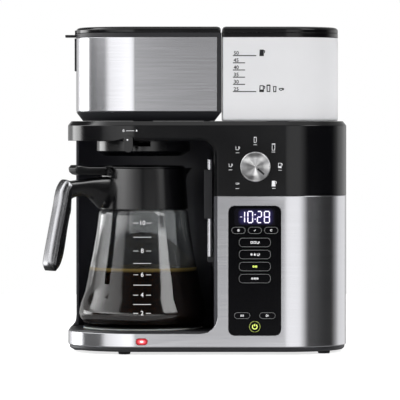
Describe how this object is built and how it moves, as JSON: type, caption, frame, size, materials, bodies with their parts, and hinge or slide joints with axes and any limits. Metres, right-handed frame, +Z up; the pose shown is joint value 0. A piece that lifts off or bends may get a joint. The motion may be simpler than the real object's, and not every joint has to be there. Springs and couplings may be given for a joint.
{
  "type": "cold brew coffee maker",
  "caption": "Countertop coffee maker with a glass carafe on a warming plate, a lift-off water tank, a lidded brew section, a size knob and a button panel.",
  "frame": {"origin": "middle of the whole object's footprint, knob, carafe handle and cord gland included, on the table", "axes": "+Z up, -Y out of the front, +X to the right seen from the front"},
  "size_m": [0.3788, 0.235, 0.404],
  "materials": {
    "steel": "brushed satin",
    "knob_steel": "spun, bright rim",
    "gloss_black": "gloss",
    "matte_black": "fine matt",
    "rubber": "matt",
    "silicone": "satin",
    "plate_coating": "dark non-stick coating",
    "heater_aluminium": "cast",
    "board_green": "solder mask",
    "lens_red": "lit lens",
    "carafe_glass": "clear",
    "tank_clear": "frosted clear"
  },
  "bodies": {
    "machine_body": {"base_pan": "matte_black", "foot_front_left": "rubber", "foot_front_right": "rubber", "foot_middle_left": "rubber", "foot_rear_left": "rubber", "foot_rear_right": "rubber", "base_housing": "matte_black", "steel_front": "steel", "warming_light": "lens_red", "warming_plate": "plate_coating", "plate_seal": "silicone", "heating_element": "heater_aluminium", "column_housing": "matte_black", "rear_cover": "matte_black", "upper_fascia": "gloss_black", "upper_chassis": "matte_black", "drip_funnel": "gloss_black", "control_panel": "gloss_black", "control_board": "board_green", "knob_encoder": "matte_black", "shelf_bracket": "matte_black", "brew_housing": "matte_black", "brew_wrap": "steel", "side_grip": "matte_black", "tank_seat": "silicone", "water_pump": "matte_black", "heater_stand": "matte_black", "flow_heater": "heater_aluminium", "inlet_hose": "silicone", "feed_hose": "silicone", "outlet_hose": "silicone", "cord_gland": "rubber"},
    "drip_stop": {"drip_stop_lever": "matte_black"},
    "knob": {"size_knob": "knob_steel", "knob_shaft": "steel"},
    "shelf": {"cup_shelf": "gloss_black", "shelf_trim": "steel", "shelf_pull": "matte_black"},
    "basket": {"filter_basket": "matte_black"},
    "brew_cover": {"brew_lid": "gloss_black", "shower_head": "matte_black"},
    "tank": {"tank_body": "tank_clear", "tank_rim": "matte_black", "tank_valve": "matte_black"},
    "tank_cover": {"tank_lid": "gloss_black"},
    "carafe": {"carafe_glass": "carafe_glass", "carafe_collar": "gloss_black", "carafe_handle": "matte_black", "handle_strip": "steel"},
    "carafe_cover": {"carafe_lid": "gloss_black"},
    "program_button_1_body": {"program_button_1": "gloss_black"},
    "program_button_2_body": {"program_button_2": "gloss_black"},
    "program_button_3_body": {"program_button_3": "gloss_black"},
    "brew_button_1_body": {"brew_button_1": "gloss_black"},
    "brew_button_2_body": {"brew_button_2": "gloss_black"},
    "brew_button_3_body": {"brew_button_3": "gloss_black"},
    "brew_button_4_body": {"brew_button_4": "gloss_black"},
    "setting_button_1_body": {"setting_button_1": "gloss_black"},
    "setting_button_2_body": {"setting_button_2": "gloss_black"},
    "power_button_body": {"power_button": "gloss_black"}
  },
  "joints": [
    {"name": "carafe_slide", "type": "slide", "parent": "machine_body", "child": "carafe", "axis": [0, -1, 0], "range_m": [0, 0.85]},
    {"name": "cup_shelf_fold", "type": "hinge", "parent": "machine_body", "child": "shelf", "pos_m": [0.01885, -0.0295, 0.1167], "axis": [0, -1, 0], "range_deg": [0, 90]},
    {"name": "carafe_lid_hinge", "type": "hinge", "parent": "carafe", "child": "carafe_cover", "pos_m": [-0.11314, -0.0425, 0.226], "axis": [0.5, -0.866, 0], "range_deg": [0, 6]},
    {"name": "brew_lid_hinge", "type": "hinge", "parent": "machine_body", "child": "brew_cover", "pos_m": [-0.0575, 0.105, 0.3969], "axis": [-1, 0, 0], "range_deg": [0, 95]},
    {"name": "basket_lift", "type": "slide", "parent": "machine_body", "child": "basket", "axis": [0, 0, 1], "range_m": [0, 0.0963]},
    {"name": "tank_lift", "type": "slide", "parent": "machine_body", "child": "tank", "axis": [0, 0, 1], "range_m": [0, 0.125]},
    {"name": "tank_lid_hinge", "type": "hinge", "parent": "tank", "child": "tank_cover", "pos_m": [0.1064, 0.105, 0.3969], "axis": [-1, 0, 0], "range_deg": [0, 95]},
    {"name": "drip_stop_turn", "type": "hinge", "parent": "machine_body", "child": "drip_stop", "pos_m": [-0.06465, -0.0145, 0.25], "axis": [0, 0, 1], "range_deg": [0, 13.5]},
    {"name": "size_knob_turn", "type": "hinge", "parent": "machine_body", "child": "knob", "pos_m": [0.07455, -0.1025, 0.2317], "axis": [0, -1, 0], "range_deg": [0, 270]},
    {"name": "program_button_1_press", "type": "slide", "parent": "machine_body", "child": "program_button_1_body", "axis": [0, 1, 0], "range_m": [0, 0.0008], "stiffness_N_per_m": 300},
    {"name": "program_button_2_press", "type": "slide", "parent": "machine_body", "child": "program_button_2_body", "axis": [0, 1, 0], "range_m": [0, 0.0008], "stiffness_N_per_m": 300},
    {"name": "program_button_3_press", "type": "slide", "parent": "machine_body", "child": "program_button_3_body", "axis": [0, 1, 0], "range_m": [0, 0.0008], "stiffness_N_per_m": 300},
    {"name": "brew_button_1_press", "type": "slide", "parent": "machine_body", "child": "brew_button_1_body", "axis": [0, 1, 0], "range_m": [0, 0.0008], "stiffness_N_per_m": 300},
    {"name": "brew_button_2_press", "type": "slide", "parent": "machine_body", "child": "brew_button_2_body", "axis": [0, 1, 0], "range_m": [0, 0.0008], "stiffness_N_per_m": 300},
    {"name": "brew_button_3_press", "type": "slide", "parent": "machine_body", "child": "brew_button_3_body", "axis": [0, 1, 0], "range_m": [0, 0.0008], "stiffness_N_per_m": 300},
    {"name": "brew_button_4_press", "type": "slide", "parent": "machine_body", "child": "brew_button_4_body", "axis": [0, 1, 0], "range_m": [0, 0.0008], "stiffness_N_per_m": 300},
    {"name": "setting_button_1_press", "type": "slide", "parent": "machine_body", "child": "setting_button_1_body", "axis": [0, 1, 0], "range_m": [0, 0.0008], "stiffness_N_per_m": 300},
    {"name": "setting_button_2_press", "type": "slide", "parent": "machine_body", "child": "setting_button_2_body", "axis": [0, 1, 0], "range_m": [0, 0.0008], "stiffness_N_per_m": 300},
    {"name": "power_button_press", "type": "slide", "parent": "machine_body", "child": "power_button_body", "axis": [0, 1, 0], "range_m": [0, 0.0008], "stiffness_N_per_m": 300}
  ],
  "couplings": [
    {"joint": "cup_shelf_fold", "follows": "carafe_slide", "rad_per_m": 1.8479},
    {"joint": "basket_lift", "follows": "brew_lid_hinge", "m_per_rad": 0.058}
  ]
}
